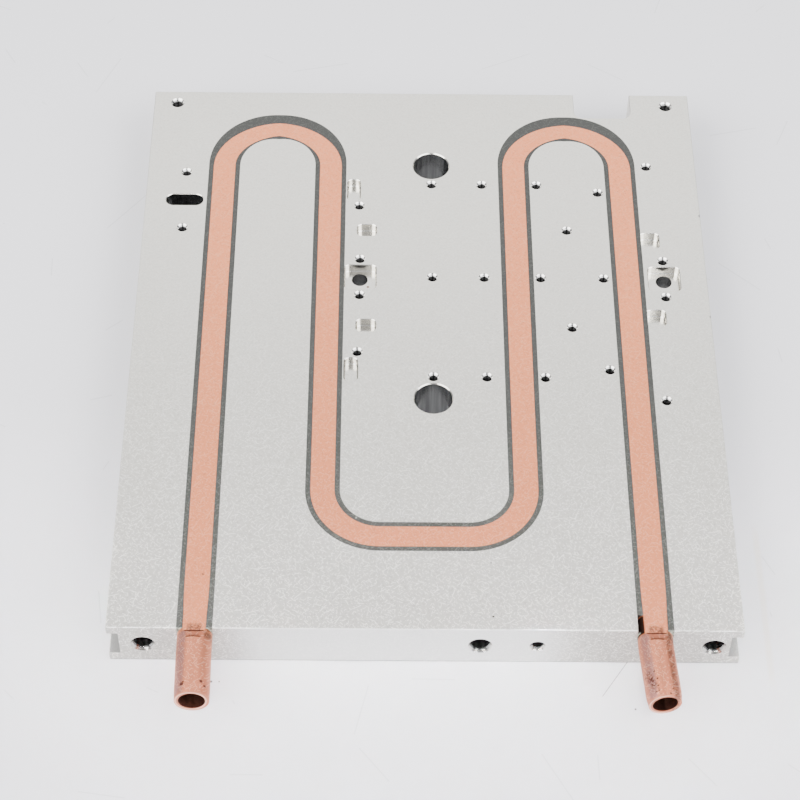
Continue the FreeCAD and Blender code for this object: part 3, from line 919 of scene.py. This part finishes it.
def finish_epoxy():
    grey_epoxy.use_nodes = True
    tree = grey_epoxy.node_tree
    place = millimetres(tree)
    x, y, z = add(tree, "ShaderNodeSeparateXYZ", {0: place}).outputs
    cloud = grain(tree, place, 0.3, 3.0)
    fine = grain(tree, place, 2.6, 4.0, 0.75)
    worn = between(tree, y, front + 110.0, front, 0.35, 1.0)
    body = colour_of(tree, (0.021, 0.0212, 0.0206), (0.033, 0.0335, 0.0318), cloud)
    marks = product(tree, all_marks(tree, place, 4.4), worn, 0.30)
    end_face = product(tree, between(tree, y, front + 0.30, front + 0.08),
                       between(tree, grain(tree, place, 1.1, 3.0), 0.36, 0.56), 0.9)
    # The chip's broken faces beside the outlet are painted dark brown: a painted shade in the
    # hollow.
    broken = product(tree, band(tree, x, 60.6, 1.4, 0.5), between(tree, z, top - 0.05, top - 0.35),
                     band(tree, y, front + 3.0, 2.4, 0.5))
    coat = layered(tree, body, [
        ((0.050, 0.053, 0.040), product(tree, worn, 0.35)),
        ((0.15, 0.15, 0.14), product(tree, between(tree, fine, 0.55, 0.78), 0.5)),
        ((0.30, 0.31, 0.28), marks), ((0.34, 0.36, 0.29), end_face),
        ((0.022, 0.012, 0.008), broken)])
    surface(grey_epoxy, coat, 0.0, 0.60, fine, 0.03)


finish_epoxy()
epoxy.data.materials.clear()
epoxy.data.materials.append(grey_epoxy)
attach(epoxy, "root")
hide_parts("thermal_epoxy")

# ---- The table ---------------------------------------------------------------------------------
# A pale grey laminate sheet under soft light, with faint wipe marks.
sheet = bmesh.new()
corners = [sheet.verts.new(Vector(place)) for place in ((-3, -3, 0), (3, -3, 0), (3, 3, 0),
                                                        (-3, 3, 0))]
sheet.faces.new(corners)
table_mesh = bpy.data.meshes.new("table")
sheet.to_mesh(table_mesh)
sheet.free()
table = piece_from(table_mesh, "table")
laminate = bpy.data.materials.new("pale laminate")


def finish_table():
    laminate.use_nodes = True
    tree = laminate.node_tree
    place = millimetres(tree)
    cloud = grain(tree, place, 0.006, 3.0)
    body = colour_of(tree, (0.755, 0.75, 0.785), (0.79, 0.785, 0.82), cloud)
    x, y, _ = add(tree, "ShaderNodeSeparateXYZ", {0: place}).outputs
    marks = scratches(tree, place, 26.0, 11.0, 0.30, 0.6, (0.4, 0.9, 0.0), 0.0, 2 * math.pi)
    dust = product(tree, between(tree, grain(tree, place, 0.55, 4.0, 0.8), 0.66, 0.76), 0.30)
    ring = product(tree, band(tree, x, 99.2, 0.4, 1.0), band(tree, y, -88.0, 22.0, 8.0), 0.45)
    along = maths(tree, "ADD", product(tree, x, 0.556), product(tree, y, 0.831))
    across = maths(tree, "SUBTRACT", product(tree, x, 0.831), product(tree, y, 0.556))
    hairline = product(tree, band(tree, across, 108.46, 0.05, 0.12),
                       band(tree, along, -63.8, 7.0, 1.0), 0.85)
    crumbs = spots(tree, place, [(-60.7, -115.5, 0.5), (-58.4, -115.5, 0.3), (59.6, -123.8, 0.4)])
    coat = layered(tree, body, [
        ((0.50, 0.50, 0.52), product(tree, marks, 0.55)), ((0.40, 0.38, 0.37), dust),
        ((0.74, 0.68, 0.62), ring), ((0.10, 0.10, 0.11), hairline), ((0.07, 0.06, 0.06), crumbs)])
    surface(laminate, coat, 0.0, 0.45)


finish_table()
table_mesh.materials.append(laminate)

# ---- Light -------------------------------------------------------------------------------------
# A dim room with a wide pale panel over the rear, a soft box to the left and to the right, and a
# long narrow lamp behind the camera that brightens the table in front of the plate.
room = bpy.data.worlds.new("white room")
bpy.context.scene.world = room
room.use_nodes = True
room.node_tree.nodes["Background"].inputs["Color"].default_value = (0.93, 0.95, 1.0, 1.0)
room.node_tree.nodes["Background"].inputs["Strength"].default_value = 0.45


def soft_light(name, place, target, width, height, power, colour=(1.0, 1.0, 1.0)):
    lamp = bpy.data.lights.new(name, "AREA")
    lamp.shape = "RECTANGLE"
    lamp.size = width
    lamp.size_y = height
    lamp.energy = power
    lamp.color = colour
    made = bpy.data.objects.new(name, lamp)
    bpy.context.scene.collection.objects.link(made)
    look = (Vector(target) - Vector(place)).to_track_quat("-Z", "Y")
    made.matrix_world = Matrix.Translation(place) @ look.to_matrix().to_4x4()
    return made


soft_light("rear light", (0.0, 1.09, 1.30), (0, 0, 0), 2.6, 2.0, 32.0, (1.0, 1.0, 0.99))
soft_light("left light", (-0.945, -0.591, 1.004), (0, 0, 0), 1.5, 1.1, 47.0, (1.0, 0.99, 0.98))
soft_light("right light", (0.945, -0.591, 1.004), (0, 0, 0), 1.5, 1.1, 41.0, (0.99, 0.99, 1.0))
front_light = soft_light("front light", (0.0, -0.80, 1.10), (0.0, -0.104, 0.0), 0.24, 0.03, 0.13)
front_light.data.spread = math.radians(7.0)

# ---- Camera ------------------------------------------------------------------------------------
# A long lens held above the front edge, looking down and a little to the right.
camera_pitch = math.radians(51.0)
camera_yaw = math.radians(0.701)
camera_roll = math.radians(-0.957)
lens = bpy.data.cameras.new("camera")
lens.sensor_width = 36.0
lens.lens = 106.23
lens.clip_start = 0.01
camera = bpy.data.objects.new("camera", lens)
bpy.context.scene.collection.objects.link(camera)
ahead = Vector((math.sin(camera_yaw) * math.cos(camera_pitch),
                math.cos(camera_yaw) * math.cos(camera_pitch), -math.sin(camera_pitch)))
rightward = Vector((math.cos(camera_yaw), -math.sin(camera_yaw), 0.0))
downward = ahead.cross(rightward)
rolled_right = math.cos(camera_roll) * rightward + math.sin(camera_roll) * downward
rolled_down = math.cos(camera_roll) * downward - math.sin(camera_roll) * rightward
turned = Matrix((rolled_right, -rolled_down, -ahead)).transposed()
camera.matrix_world = Matrix.Translation((-0.01272, -0.47566, 0.57265)) @ turned.to_4x4()
bpy.context.scene.camera = camera
